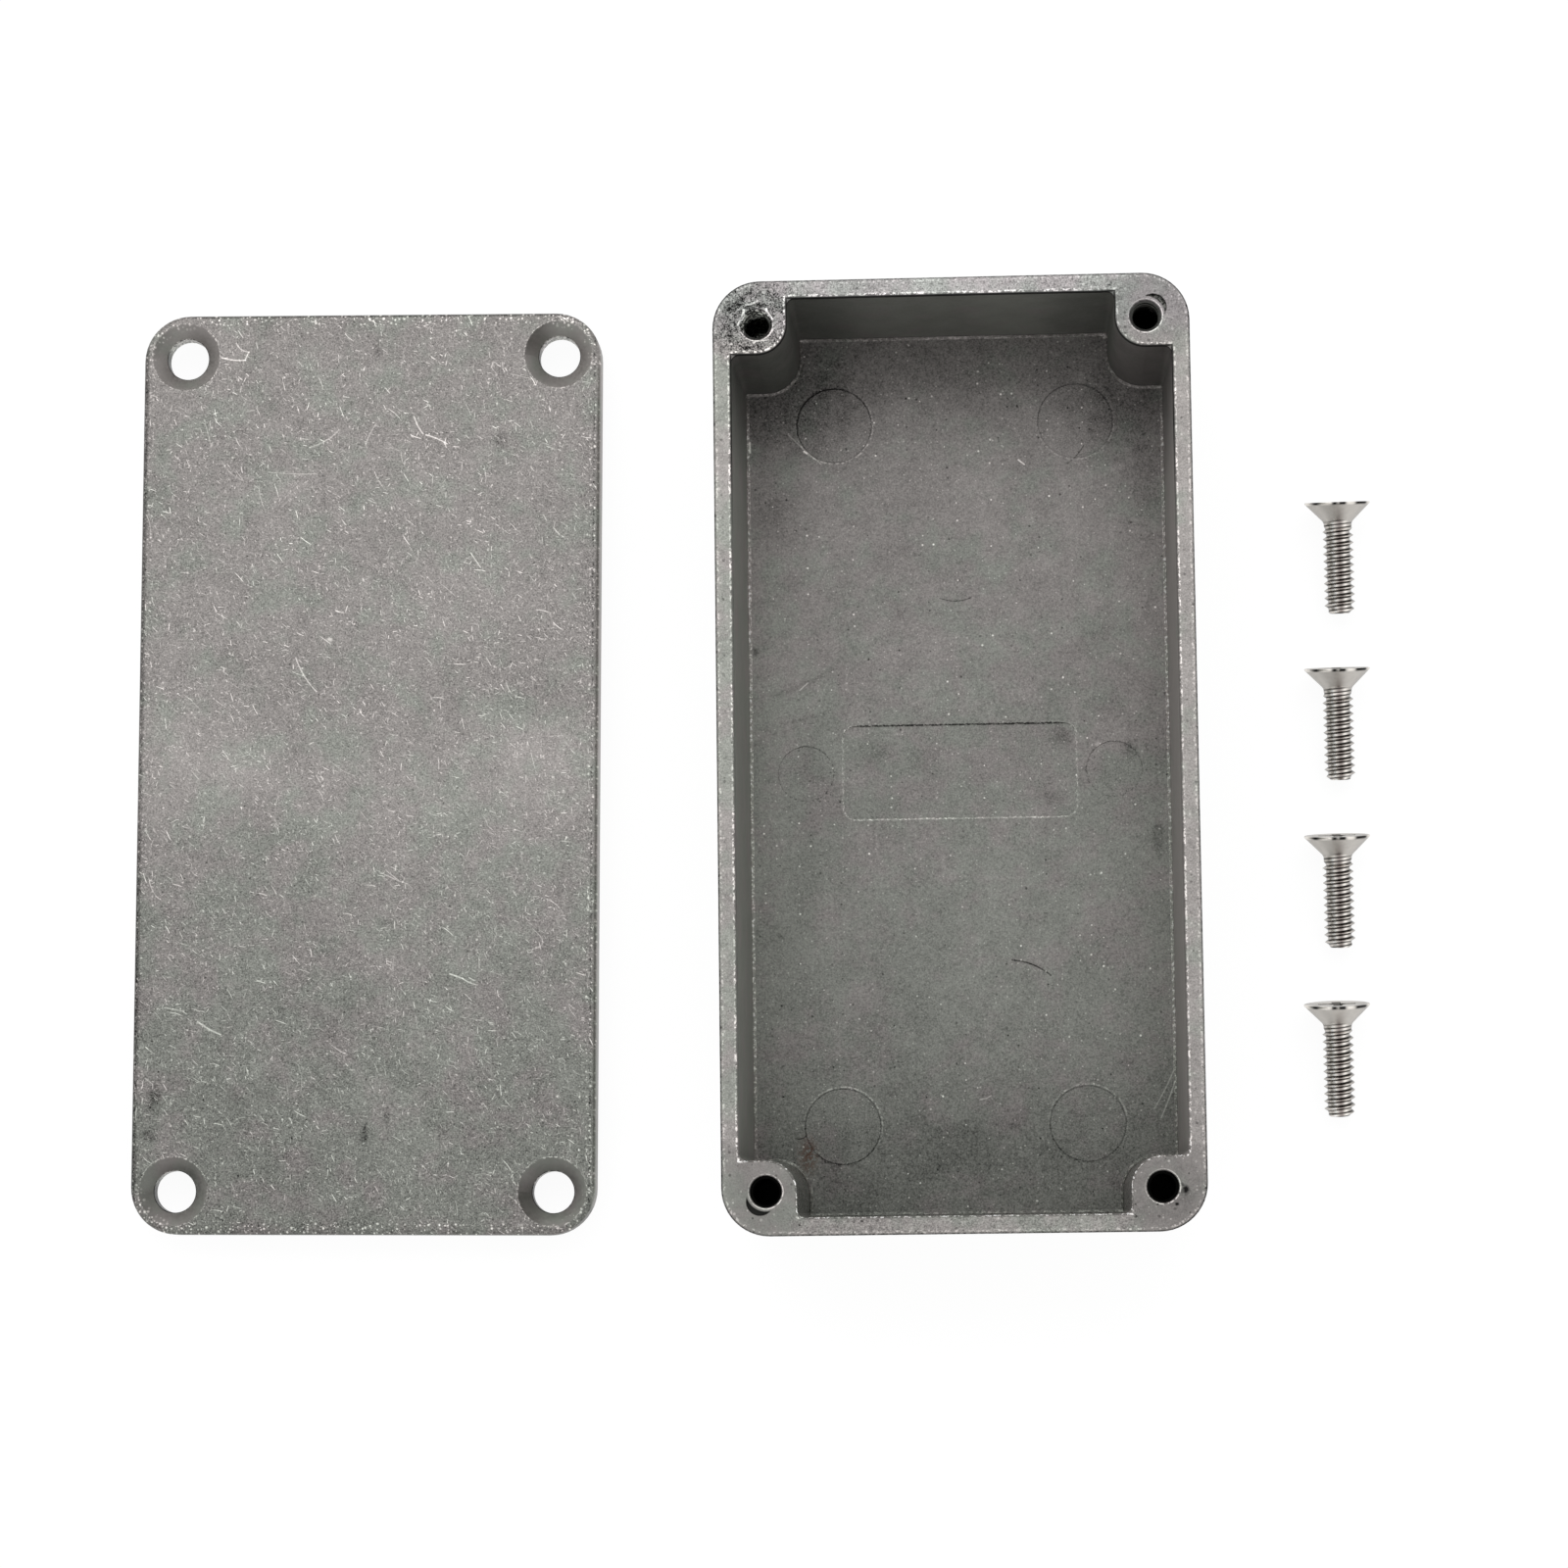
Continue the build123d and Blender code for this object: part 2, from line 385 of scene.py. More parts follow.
def speck_group():
    """Small round specks: the middle of each cell of a cellular pattern, in some of the cells."""
    graph, position, spacing, radius, share = new_group(
        "Specks", Position=ORIGIN, Spacing=1.5, Radius=0.12, Share=0.5
    )
    inputs = {"Vector": position, "Scale": 1.0 / spacing, "Randomness": 1.0}
    cells = graph.make("TexVoronoi", inputs, voronoi_dimensions="2D")
    chance, size, strength = graph.parts(graph.get(cells, "Color"))
    distance = graph.get(cells, "Distance") * spacing
    reach = radius * (size * 0.8 + 0.4)
    kept = graph.math("LESS_THAN", chance, share)
    end_group(graph, Mask=distance.under(reach * 0.4, reach) * kept * (strength * 0.6 + 0.4))


def scratch_group():
    """Short bent scratches: in each cell, a bar round the middle that leans its own way.
    The bar is along by across, and across is bent by the square of along."""
    graph, position, spacing, half_length, half_width, lean, spread, share = new_group(
        "Scratches", Position=ORIGIN, Spacing=3.0, Half_Length=0.9, Half_Width=0.06,
        Lean=-0.8, Spread=1.2, Share=0.8,
    )
    flat = graph.scaled(position, 1.0 / spacing)
    inputs = {"Vector": flat, "Scale": 1.0, "Randomness": 1.0}
    cells = graph.make("TexVoronoi", inputs, voronoi_dimensions="2D")
    middle = graph.get(cells, "Position")
    x, y, _ = graph.parts(graph.scaled(graph.vector("SUBTRACT", flat, middle), spacing))
    turn, bend, size = graph.parts(graph.get(cells, "Color"))
    angle = lean + (turn - 0.5) * spread * 2.0
    cosine = graph.math("COSINE", angle)
    sine = graph.math("SINE", angle)
    along = x * cosine + y * sine
    across = y * cosine - x * sine + along * along * (bend - 0.5) * 0.4
    half = half_length * (size * size * 0.9 + 0.25)
    bar = abs(along).under(half * 0.5, half)
    kept = graph.math("LESS_THAN", graph.math("FRACT", bend * 17.0), share)
    strength = graph.math("FRACT", turn * 23.0) * 0.8 + 0.2
    end_group(graph, Mask=bar * across.line(0.0, half_width) * kept * strength)


def stroke_group():
    """One drawn mark: the distance to the line from one point to another, bowed sideways
    by the parabola 4 h (1 - h) of the share h of the way along it."""
    graph, position, start, end, half_width, bow = new_group(
        "Stroke", Position=ORIGIN, From=ORIGIN, To=(1.0, 0.0, 0.0), Half_Width=0.07, Bow=0.0
    )
    flat = graph.vector("MULTIPLY", position, (1.0, 1.0, 0.0))
    span = graph.vector("SUBTRACT", end, start)
    local = graph.vector("SUBTRACT", flat, start)
    dots = [graph.vector("DOT_PRODUCT", a, span, out="Value") for a in (local, span)]
    share = (dots[0] / dots[1]).max(0.0).min(1.0)
    side = graph.vector("NORMALIZE", graph.vector("CROSS_PRODUCT", span, (0.0, 0.0, 1.0)))
    bowed = graph.scaled(side, share * (1.0 - share) * bow * 4.0)
    line = graph.vector("ADD", graph.scaled(span, share), bowed)
    distance = graph.vector("DISTANCE", local, line, out="Value")
    end_group(graph, Mask=distance.under(half_width * 0.3, half_width))


def patch_group():
    """A soft uneven patch: an ellipse that fades over the outer 0.8 of its radius, whose edge
    the given wobble moves in and out."""
    graph, position, centre, radii, wobble = new_group(
        "Patch", Position=ORIGIN, Centre=ORIGIN, Radii=(1.0, 1.0, 1.0), Wobble=0.0
    )
    flat = graph.vector("MULTIPLY", position, (1.0, 1.0, 0.0))
    local = graph.vector("DIVIDE", graph.vector("SUBTRACT", flat, centre), radii)
    distance = graph.vector("LENGTH", local, out="Value")
    end_group(graph, Mask=(distance + wobble).under(0.2, 1.0))


GROUPS = {
    "Outline distance": outline_group,
    "Cast grain": grain_group,
    "Specks": speck_group,
    "Scratches": scratch_group,
    "Stroke": stroke_group,
    "Patch": patch_group,
}


def shared(name):
    """A shared effect, built the first time that a material asks for it."""
    if name not in bpy.data.node_groups:
        GROUPS[name]()
    return bpy.data.node_groups[name]


def empty_graph(owner):
    """Clears the nodes of a material or a world, and returns their graph."""
    owner.use_nodes = True
    owner.node_tree.nodes.clear()
    return Graph(owner.node_tree)


def new_material(name):
    """An empty material, its graph and its object position in millimetres."""
    material = bpy.data.materials.new(name)
    graph = empty_graph(material)
    place = graph.get(graph.make("TexCoord"), "Object")
    return material, graph, graph.scaled(place, 1.0 / MM)


def close_material(graph, base, roughness, height=None):
    """The metal itself, with a Bump node where a height in millimetres is given."""
    inputs = {"Base Color": base, "Roughness": roughness, "Metallic": 1.0}
    if height is not None:
        inputs["Normal"] = graph.get(graph.make("Bump", {"Height": height, "Distance": MM}))
    graph.make("OutputMaterial", [graph.get(graph.make("BsdfPrincipled", inputs))])


def tinted(graph, finish, grain, warmth, brightness):
    """Metal colour that drifts in patches between its cool and its warm grey, times a
    brightness. Warmth, from 0 to 1, says which of the two there is more of."""
    tint = (grain["Tint"] * 3.5 + warmth).over(0.0, 1.0)
    grey = graph.mix(tint, (*finish.cool_grey, 1.0), (*finish.warm_grey, 1.0))
    return graph.scaled(grey, brightness)


def specks(graph, place, spacing, radius, share, shift=0.0):
    position = graph.shift(place, shift, shift * 2.0)
    return graph.use(
        "Specks", Position=position, Spacing=spacing, Radius=radius, Share=share
    )["Mask"]


def strokes(graph, place, table):
    """All the drawn marks of a table, each times its brightness."""
    return total(
        graph.use(
            "Stroke", Position=place, From=(x1, y1, 0.0), To=(x2, y2, 0.0), Half_Width=half, Bow=bow
        )["Mask"]
        * bright
        for x1, y1, x2, y2, half, bow, bright in table
    )


def patches(graph, place, table):
    """All the soft patches of a table, each times its brightness."""
    wobble = (graph.noise(place, 1.8, 3.0, 0.75) - 0.5) * 1.1
    return total(
        graph.use(
            "Patch", Position=place, Centre=(x, y, 0.0), Radii=(across, along, 1.0), Wobble=wobble
        )["Mask"]
        * bright
        for x, y, across, along, bright in table
    )


def outline(graph, place, half_width=WIDTH / 2, half_length=LENGTH / 2, corner=CORNER):
    """Distance to a rectangle with round corners, which is the castings' outline if no other."""
    sizes = {"Half_Width": half_width, "Half_Length": half_length, "Corner": corner}
    return graph.use("Outline distance", Position=place, **sizes)["Distance"]


def nearest_hole(graph, x, y):
    """Position from the middle of the nearest of the four holes, and the distance to it."""
    hole_x = x - graph.math("SIGN", x) * HOLE_X
    hole_y = y - graph.math("SIGN", y) * HOLE_Y
    return hole_x, hole_y, graph.length(hole_x, hole_y)


def lid_material(finish):
    """Tumbled top face with its scratches, speckled edges and smooth countersinks, with painted light
    and shade.
    """
    material, graph, place = new_material("lid_tumbled_aluminium")
    centred = graph.shift(place, LID_X, LID_Y)
    inputs = {"Vector": centred, "Angle": -LID_TURN}
    place = graph.get(graph.make("VectorRotate", inputs, rotation_type="Z_AXIS"))
    x, y, z = graph.parts(place)
    grain = graph.use("Cast grain", Position=place, Grain_Size=finish.grain_size / MM)
    depth = outline(graph, place) * -1.0
    hole_x, hole_y, hole = nearest_hole(graph, x, y)
    top = z.over(LID_TOP - 0.5, LID_TOP - 0.1)
    cone = hole.under(SINK_RADIUS - 0.06, SINK_RADIUS + 0.02)
    face = cone.inverse() * top
    worn = graph.noise(place, 0.5, 3.0, 0.7)

    marks = total(
        graph.use(
            "Scratches", Position=graph.shift(place, shift, shift * 2.0), Spacing=spacing,
            Half_Length=half, Half_Width=finish.scratch_width / MM / 2 * wide,
            Lean=SCRATCH_LEAN, Spread=spread, Share=share,
        )["Mask"]
        * bright
        for shift, spacing, half, wide, spread, share, bright in LID_SCRATCHES
    )
    busy = graph.noise(place, 4.5, 2.0, 0.7).over(0.36, 0.62) * 0.9 + 0.7
    marks = (marks * busy + strokes(graph, place, LID_STROKES)) * face

    # Painted shade darkens the lid towards the near end, and painted light makes it a little lighter
    # across the middle.
    level = (
        0.985
        + y.under(-14.0, -5.0) * y.under(-60.0, 10.0) * -0.22
        + abs(y).under(3.0, 9.0) * 0.1
        + patches(graph, place, LID_PATCHES)
    )
    near_edge = depth.under(0.4, 2.4)
    fringe = depth.under(0.8, 1.7) * (abs(y).over(44.0, 48.5) * 1.1 + x.over(20.0, 23.0) * 0.7 + 0.8)
    fringe = fringe * z.over(LID_TOP - 1.0, LID_TOP - 0.6)
    gloom = near_edge * graph.noise(place, 1.2, 3.0, 0.8).over(0.4, 0.6)
    # Painted shade along the left and far edges, and a painted highlight along the right edge with a
    # broken dark line just inside it.
    edge = (
        x.under(-24.75, -24.2) * -0.4
        + y.over(49.5, 49.8) * -0.3
        + x.over(24.5, 24.7) * 0.5
        + x.line(24.35, 0.14) * worn.over(0.46, 0.56) * -0.45
    )
    nicks = graph.noise(place, 0.34, 2.0, 0.7)
    # Painted highlight in flecks round the countersinks' rims.
    sink_edge_highlight = hole.line(SINK_RADIUS, 0.13) * nicks.over(0.48, 0.64) * top
    lit_side = (hole_x - hole_y) / hole.max(0.5)
    # Painted light and shade on the holes' walls: bright flecks on their far side, darker elsewhere.
    throat = hole.under(LID_HOLE_RADIUS + 0.04, LID_HOLE_RADIUS + 0.1)
    throat_light_and_shade = hole_y.over(0.3, 1.5) * nicks.over(0.4, 0.6) * 2.0 - 0.7

    brightness = (
        level
        + grain["Tone"]
        + grain["Grit"] * (face * 0.9 + 0.1)
        - gloom * 0.1
        + edge
        + marks
        + specks(graph, place, 0.8, 0.14, 0.17) * face * 1.3
        - specks(graph, place, 0.8, 0.14, 0.2, 17.0) * face * 0.45
        + specks(graph, place, 0.42, 0.16, 0.45, 5.0) * fringe * 1.3
        + sink_edge_highlight * 1.5
        + throat * throat_light_and_shade
        # Painted light on the countersinks, lighter on their near right side.
        + cone * throat.inverse() * (lit_side * 0.18 + lit_side.max(0.0) * 0.2 + 0.35)
    )
    base = tinted(graph, finish, grain, y.over(-35.0, 15.0) * 0.45 + 0.35, brightness.max(0.05))
    roughness = (grain["Height"] * 0.3 + finish.roughness - marks * 0.1 - cone * 0.1).max(0.15)
    height = grain["Height"] * (face * 0.01 + 0.002)
    close_material(graph, base, roughness, height)
    return material


def base_zones(graph, place, finish):
    """What the finishes of the base's zones share: position, grain and a mask of each zone.
    The cavity's outline draws in with depth by the draft, and the distance to it is negative
    inside."""
    at = SimpleNamespace(place=place)
    at.x, at.y, z = graph.parts(place)
    at.grain = graph.use("Cast grain", Position=place, Grain_Size=finish.grain_size / MM)
    at.worn = graph.noise(place, 0.5, 3.0, 0.7)
    at.nicks = graph.noise(place, 0.34, 2.0, 0.7)
    at.sunk = RIM_Z - z
    draft = at.sunk * INNER_DRAFT
    inner_x = WIDTH / 2 - WALL - draft
    inner_y = LENGTH / 2 - WALL - draft
    walls = outline(graph, place, inner_x, inner_y, 0.6)
    corner = graph.join(abs(at.x) - (WIDTH / 2 - WALL), abs(at.y) - (LENGTH / 2 - WALL))
    boss_reach = draft + BOSS_REACH
    boss = outline(graph, corner, boss_reach, boss_reach, draft + BOSS_WRAP)
    at.cavity = walls.max(boss * -1.0)
    at.hole_x, at.hole_y, at.hole = nearest_hole(graph, at.x, at.y)
    at.rim = at.sunk.under(0.15, 0.3)
    at.inside = at.cavity.under(0.12, 0.3)
    at.below = at.sunk - FLOOR_SUNK
    at.floor = at.below.over(-0.5, -0.2) * at.below.under(0.4, 0.7) * at.inside
    at.wall = at.inside * at.rim.inverse() * at.floor.inverse()
    at.far_left = at.x.under(-1.0, 1.0) * at.y.over(-1.0, 1.0)
    at.near_end = at.y.under(-43.0, -40.0)
    at.far_end = at.y.over(42.0, 46.0)
    at.right = at.x.over(0.0, 5.0)
    return at


def rim_tone(graph, at):
    """Flakes and specks on the flat of the rim, harshest round the far left hole, darker round the
    holes, with painted shade towards the near end.
    """
    ends = abs(at.y).over(46.0, 48.0) * abs(at.x).under(16.0, 19.0)
    harsh = at.far_left * at.hole.under(2.5, 6.5) * 1.1 + ends * 0.5 + 0.5 - at.near_end * 0.3
    flakes = graph.noise(at.place, 0.9, 5.0, 0.85) - 0.5
    return (
        0.28
        - at.hole.under(3.4, 6.0) * (0.3 - at.near_end * 0.12)
        # Painted shade towards the near end.
        - at.y.under(-50.0, -10.0) * 0.2
        + patches(graph, at.place, RIM_PATCHES)
        + strokes(graph, at.place, RIM_STROKES)
        + flakes * harsh * 2.4
        + at.grain["Grit"] * harsh * 1.6
        + specks(graph, at.place, 0.7, 0.17, 0.24) * 0.8
        - specks(graph, at.place, 0.8, 0.2, 0.22, 23.0) * 0.6
    )


def rim_burr_and_highlight(at):
    """Bright burrs along the edge of the cavity with a painted highlight on the edge, strongest at the
    near end.
    """
    burr_and_highlight = (at.cavity + at.near_end * 0.22).line(0.24, 0.17) * at.nicks.over(0.46, 0.6)
    burr_and_highlight = burr_and_highlight * (at.near_end * at.worn.over(0.4, 0.6) * 7.0 + 2.2)
    return burr_and_highlight * ((at.grain["Tint"] * 5.0).over(-0.5, 0.5) * 0.7 + 0.6)


def hole_mouth_highlights(at):
    """Painted highlights on the edges of the holes, brightest towards the near right."""
    mouth_lit_side = (at.hole_x - at.hole_y) / at.hole.max(0.5) * 0.35 + 0.75
    return at.hole.line(MOUTH_RADIUS + 0.03, 0.1) * at.nicks.over(0.36, 0.52) * mouth_lit_side * 1.7


def pin_marks(graph, at):
    """Rings of the ejector pins' marks, dark joints with painted shade on one side and a painted
    highlight on the lip on the other at the ends, fainter on the right, and one faint ring by itself."""
    pin_x = abs(at.x) - END_PIN_X
    pin_y = abs(at.y) - END_PIN_Y
    end_pin = graph.length(pin_x, pin_y)
    pin_shade_side = (pin_y - (at.x - graph.math("SIGN", at.x) * END_PIN_X) * 0.35) / END_PIN_RADIUS
    end_ring = end_pin.line(END_PIN_RADIUS, 0.12) * at.worn.over(0.25, 0.5)
    end_lip = end_pin.line(END_PIN_RADIUS + 0.18, 0.13) * at.nicks.over(0.42, 0.6)
    ring_depth = 1.0 - at.x.over(-1.0, 1.0) * (at.y.over(-1.0, 1.0) * 0.2 + 0.25)
    side_pin = graph.length(abs(at.x) - SIDE_PIN_X, at.y)
    side_ring = side_pin.line(SIDE_PIN_RADIUS, 0.13) * at.worn.over(0.38, 0.55)
    faint_ring = graph.length(at.x + 12.5, at.y + 26.6).line(4.2, 0.1) * at.worn.over(0.5, 0.6)
    return (
        end_ring * ring_depth * (pin_shade_side * 0.35 + 1.0) * -0.3
        + end_lip * ring_depth * (0.35 - pin_shade_side * 0.5)
        + side_ring * (at.nicks.over(0.45, 0.6) * 0.5 - 0.42)
        + faint_ring * -0.2
    )


def panel_edge(graph, at):
    """The sunk panel's outline with painted light and shade: a painted highlight, brightest along its
    near side, and painted shade along its far one.
    """
    panel = outline(graph, at.place, PANEL_X, PANEL_Y, PANEL_CORNER)
    line = panel.line(0.0, 0.14)
    middle = abs(at.x).under(10.5, 11.8)
    top = at.y.over(4.6, 5.0) * middle * at.worn.over(0.2, 0.5)
    light = (at.nicks.over(0.5, 0.64) * 0.9 + 0.16) * (at.y.under(-5.0, -4.0) * middle + 1.0)
    return line * light - line * top * 0.8


def floor_tone(graph, at):
    """Grit, specks and marks of the floor, with painted shade darker towards both ends and a painted
    highlight along the foot of the walls.
    """
    # Painted highlight along the foot of the walls, dimmer at both ends and most at the far end.
    foot_highlight = at.cavity.line(-0.17, 0.2) * (at.nicks.over(0.5, 0.62) * 3.0 + 1.0)
    foot_highlight = foot_highlight * (at.y.over(-44.0, -28.0) * 0.55 - at.y.over(37.0, 41.0) * 0.75 + 0.45)
    return (
        -0.21
        # Painted shade towards both ends.
        - at.y.under(-48.0, -22.0) * 0.24
        - at.y.over(30.0, 46.0) * 0.18
        + patches(graph, at.place, FLOOR_PATCHES)
        + strokes(graph, at.place, FLOOR_STROKES)
        + at.grain["Grit"] * 0.6
        + specks(graph, at.place, 1.25, 0.13, 0.12) * 2.0
        + specks(graph, at.place, 0.6, 0.11, 0.24, 13.0) * 0.7
        - specks(graph, at.place, 1.1, 0.16, 0.13, 9.0) * 0.5
        + foot_highlight
        + pin_marks(graph, at)
        + panel_edge(graph, at)
    )


def wall_tone(at):
    """Smooth inner walls with painted light and shade: darker at both ends, at their foot and, at the
    far end, under the rim, and lighter on the right.
    """
    far_shade = at.y.over(28.0, 43.0) * (abs(at.x).over(7.0, 15.0) * 0.5 + 0.43)
    # Painted shade at the foot of the walls, in patches, and, at the far end, under the rim.
    foot = at.below.over(-0.6, -0.35) * at.worn.over(0.3, 0.55)
    rim_and_foot_shade = at.sunk.under(0.35, 0.9) * at.y.over(22.0, 34.0) + foot
    level = at.grain["Grit"] * 0.1 + at.right * 0.15 + 0.5 - rim_and_foot_shade * 0.7
    return level - far_shade * (at.right * 0.05 + 0.9) - at.near_end * 0.5


def bore_shade(graph, at):
    """Painted shade in the holes, lighter near the top of the far ones. The far left one is torn at its
    mouth, and painted glints lie on the turns of thread at the mouths of two: a sine of the depth
    with a pitch of 0.42, leaning with x."""
    deep = graph.length(at.hole_x - at.far_left * 0.17, at.hole_y + at.far_left * 0.4).under(1.46, 1.62)
    shade = 0.98 - at.y.over(0.0, 10.0) * at.sunk.under(0.4, 3.2) * 0.35
    solid = deep.max(at.far_left.inverse())
    # The torn mouth is dark, with bright flecks as painted glints.
    torn = 0.9 - at.nicks.over(0.46, 0.6) * 3.0
    in_bore = at.hole.under(1.62, 1.7)
    bore = in_bore * graph.mix_number(solid, torn, shade)
    turns = graph.math("SINE", at.sunk * (2 * math.pi / 0.42) + at.x * 1.2)
    glint = at.sunk.over(0.25, 0.5) * turns.over(0.3, 0.8)
    glint = glint * in_bore * abs(at.hole_x).over(0.45, 0.8) * at.hole_y.over(0.2, 0.6)
    far_right = at.x.over(0.0, 1.0) * at.y.over(0.0, 1.0)
    return bore * (glint * (at.far_left * 0.9 + far_right * 0.35)).inverse()


def dark_share(graph, at):
    """How dark the painted shade is: the painted shadow in the line under the rim, and the painted shade
    in the dents beside two holes and in the bores.
    """
    dent_shade = total(
        graph.length(at.x - dent_x, at.y - dent_y).under(DENT_RADIUS, DENT_RADIUS + 0.1)
        for dent_x, dent_y in DENTS
    )
    dent_shade = dent_shade * at.hole.over(DENT_LAND - 0.12, DENT_LAND - 0.02) * at.sunk.under(0.5, 0.6)
    rim_edge_shadow = at.cavity.line(0.02, 0.13) * at.sunk.under(0.5, 0.8)
    rim_edge_shadow = rim_edge_shadow * (at.y.over(22.0, 34.0) * 0.7 - at.near_end * 0.2 + 0.3)
    dent_shade = dent_shade * (0.9 - at.far_end * at.nicks.over(0.42, 0.58) * 0.6)
    return rim_edge_shadow * 0.85 + dent_shade + bore_shade(graph, at)


def stained(graph, at, base):
    """The colour under the brown stain on the floor."""
    stain = graph.use(
        "Patch", Position=at.place, Centre=STAIN_CENTRE, Radii=STAIN_RADII,
        Wobble=(at.worn - 0.5) * 1.5,
    )["Mask"]
    return graph.mix(stain * at.floor * at.worn.over(0.42, 0.52) * 0.85, base, STAIN_COLOUR)


def base_material(finish):
    """Speckled rim, smooth inner walls, mottled floor with the marks of its mould, with painted light
    and shade in each zone.
    """
    material, graph, place = new_material("base_cast_aluminium")
    at = base_zones(graph, place, finish)
    rim, floor, wall = at.rim, at.floor, at.wall
    depth = outline(graph, place) * -1.0
    # Painted shade in a broken line along the outer edge.
    outer_edge_shade = depth.under(0.06, 0.2) * (at.nicks.over(0.4, 0.6) * 0.45 + 0.45)
    outer_specks = depth.line(0.34, 0.18) * at.nicks.over(0.5, 0.62) * 1.1
    burr_and_highlight = rim_burr_and_highlight(at)
    brightness = (
        1.0
        + at.grain["Tone"] * (rim.inverse() * -0.2 + 1.0)
        + rim_tone(graph, at) * rim * at.inside.inverse()
        + (burr_and_highlight + outer_specks + hole_mouth_highlights(at)) * rim
        - outer_edge_shade * at.sunk.under(0.3, 1.0)
        + floor_tone(graph, at) * floor
        + wall_tone(at) * wall
    )
    brightness = brightness.max(0.05) * dark_share(graph, at).inverse()
    warmth = (
        (at.y.over(-30.0, 35.0) * 0.75 + 0.1) * floor
        + rim * (at.x.over(10.0, 23.0) * 0.5 + 0.45 - at.far_end * 0.1 + at.near_end * 0.2)
        + wall * (at.right * 0.85 + 0.25) * (1.0 - at.far_end)
    )
    base = tinted(graph, finish, at.grain, warmth, brightness)
    base = graph.vector("MULTIPLY", base, graph.join(1.0, 1.0, at.far_end * rim * 0.04 + 1.0))
    height = at.grain["Height"]
    roughness = (height * 0.3 + finish.roughness + wall * 0.12 - burr_and_highlight * 0.1).max(0.15)
    bump = height * (floor * 0.004 + rim * 0.014 + 0.004)
    close_material(graph, stained(graph, at, base), roughness, bump)
    return material


def screw_material(shape):
    """Bright nickel. The finish attribute holds painted light and shade: how bright the plating is,
    which is painted dark in the recess and on the flanks of the thread, how far it takes the painted
    brown reflection along the back, and how satin it is."""
    material, graph, place = new_material("bright_nickel")
    finish = graph.get(graph.make("Attribute", attribute_name="finish"), "Vector")
    bright, brown, satin = graph.parts(finish)
    shade = graph.noise(place, 0.5, 3.0, 0.6)
    # Painted reflection: the plating turns towards the brown back tint where the attribute's brown share
    # says, and its brightness carries the painted light and shade.
    base = graph.mix(brown, (*shape.nickel, 1.0), (*shape.back_reflection_tint, 1.0))
    base = graph.scaled(base, bright * (shade * 0.3 + 0.85))
    roughness = shade * 0.1 + satin * 0.16 + 0.18
    close_material(graph, base, roughness)
    return material


def skin(rings, start_pole, end_pole):
    """Joins rings of points (ring, point, xyz) into one closed skin of quads, and closes each
    end with triangles to a pole."""
    count, around, _ = rings.shape
    points = np.vstack([rings.reshape(-1, 3), start_pole, end_pole])
    row = np.arange(count - 1)[:, None] * around
    here = np.arange(around)
    after = (here + 1) % around
    quads = np.stack([row + here, row + after, row + around + after, row + around + here], axis=-1)
    first_pole = count * around
    last = (count - 1) * around
    start_fan = np.stack([np.full(around, first_pole), after, here], axis=-1)
    end_fan = np.stack([np.full(around, first_pole + 1), last + here, last + after], axis=-1)
    faces = quads.reshape(-1, 4).tolist() + start_fan.tolist() + end_fan.tolist()
    return points, faces


def mesh_from_skins(name, skins):
    """One mesh from several closed skins. Where the signed volume, the sum of the triple
    products of the triangles' corners, is negative, the faces are turned round."""
    points, faces = [], []
    for skin_points, skin_faces in skins:
        start = sum(len(group) for group in points)
        points.append(skin_points)
        faces += [[corner + start for corner in face] for face in skin_faces]
    mesh = bpy.data.meshes.new(name)
    mesh.from_pydata(np.vstack(points).tolist(), [], faces)
    mesh.update()
    mesh.calc_loop_triangles()
    corners = np.empty(len(mesh.loop_triangles) * 3, dtype=np.int32)
    mesh.loop_triangles.foreach_get("vertices", corners)
    triangles = np.vstack(points)[corners.reshape(-1, 3)]
    volume = np.einsum("ij,ij->", triangles[:, 0], np.cross(triangles[:, 1], triangles[:, 2]))
    if volume < 0.0:
        mesh.flip_normals()
    return mesh


def new_object(name, data):
    made = bpy.data.objects.new(name, data)
    bpy.context.scene.collection.objects.link(made)
    return made


def new_piece(name, mesh, material):
    piece = new_object(name, mesh)
    mesh.materials.append(material)
    mesh.shade_smooth()
    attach(piece, "root")
    return piece


def bore_thread(centre_x, centre_y, turns=5, steps=40):
    """A screw thread's ridge in a hole: a low triangle carried down a helix, whose radius from
    the axis is the bore's and whose height falls by the pitch times angle / full turn, turning
    clockwise on its way down."""
    pitch = 0.794
    angle = np.linspace(0.0, turns * 2 * math.pi, turns * steps + 1)
    rise = np.clip(np.minimum(angle, angle[::-1]) / math.pi, 0.05, 1.0)[:, None]
    inward = np.array([0.0, 0.17, 0.17, 0.0])
    upward = np.array([0.32, 0.05, -0.05, -0.32])
    radius = TAP_RADIUS + 0.05 - inward * rise
    height = RIM_Z - 0.62 - pitch * angle[:, None] / (2 * math.pi) + upward * rise
    x = centre_x + radius * np.cos(angle)[:, None]
    y = centre_y - radius * np.sin(angle)[:, None]
    rings = np.stack([x, y, height], axis=-1) * MM
    return skin(rings, rings[0].mean(axis=0), rings[-1].mean(axis=0))


def screw_angles():
    """Angles round a screw, with close pairs at the corners of the cross recess."""
    corner = math.atan2(SLOT_HALF, SLOT_REACH)
    quarters = np.arange(4)[:, None] * math.pi / 2
    edges = quarters + np.array([-corner, corner, math.pi / 4])
    even = np.arange(132) * 2 * math.pi / 132 + 0.02
    angles = np.concatenate([even, (edges - 0.012).ravel(), (edges + 0.012).ravel()])
    angles = np.sort(np.mod(angles, 2 * math.pi))
    return angles[np.concatenate([[True], np.diff(angles) > 0.004])]


